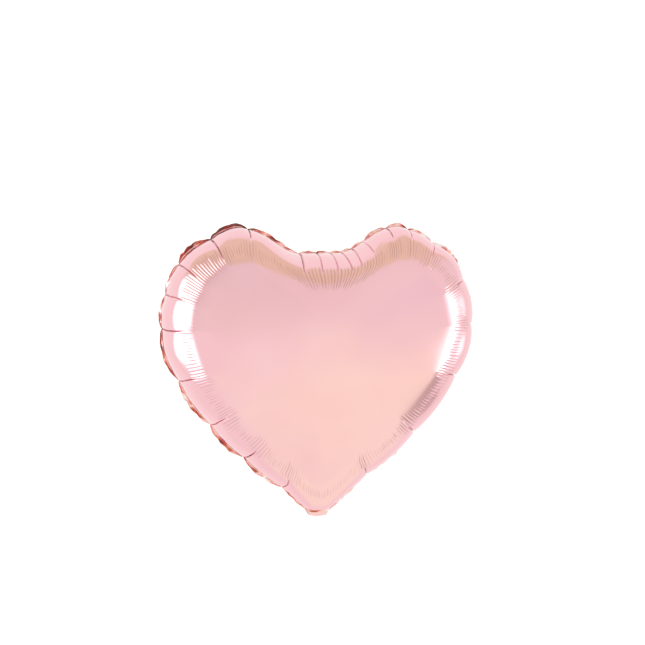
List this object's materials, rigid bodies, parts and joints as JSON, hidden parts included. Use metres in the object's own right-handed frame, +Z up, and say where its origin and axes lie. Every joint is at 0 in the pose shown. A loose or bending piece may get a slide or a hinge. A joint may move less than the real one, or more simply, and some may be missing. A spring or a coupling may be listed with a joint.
{
  "type": "foil balloon",
  "caption": "Inflated heart-shaped foil balloon with a folding filling tail, an inlet hole and a self-sealing two-film valve.",
  "frame": {"origin": "middle of the neck at the cut edge of the bottom tip, where a ribbon is tied", "axes": "+X to the right seen from the front, +Y to the rear, +Z up through the notch"},
  "size_m": [0.4018, 0.152, 0.3702],
  "materials": {
    "foil": "mirror-bright metallised film, pale rose gold",
    "valve_film": "clear slightly milky film"
  },
  "bodies": {
    "envelope": {"front_foil_panel": "foil", "rear_foil_panel": "foil", "valve_front_neck_film": "valve_film", "valve_rear_neck_film": "valve_film"},
    "tail": {"tail_front_foil": "foil", "tail_rear_foil": "foil", "tail_valve_front_film": "valve_film", "tail_valve_rear_film": "valve_film"},
    "valve_front": {"valve_front_leaf": "valve_film"},
    "valve_rear": {"valve_rear_leaf": "valve_film"}
  },
  "joints": [
    {"name": "tail_fold", "type": "hinge", "parent": "envelope", "child": "tail", "pos_m": [0, 0.0016, -0.002], "axis": [-1, 0, 0], "range_deg": [0, 150]},
    {"name": "valve_front_open", "type": "hinge", "parent": "envelope", "child": "valve_front", "pos_m": [0, -0.0002, 0.012], "axis": [1, 0, 0], "range_deg": [0, 3], "stiffness_Nm_per_rad": 0.005},
    {"name": "valve_rear_open", "type": "hinge", "parent": "envelope", "child": "valve_rear", "pos_m": [0, 0.0002, 0.012], "axis": [-1, 0, 0], "range_deg": [0, 3], "stiffness_Nm_per_rad": 0.005}
  ],
  "couplings": [
    {"joint": "valve_rear_open", "follows": "valve_front_open", "ratio": 1}
  ]
}
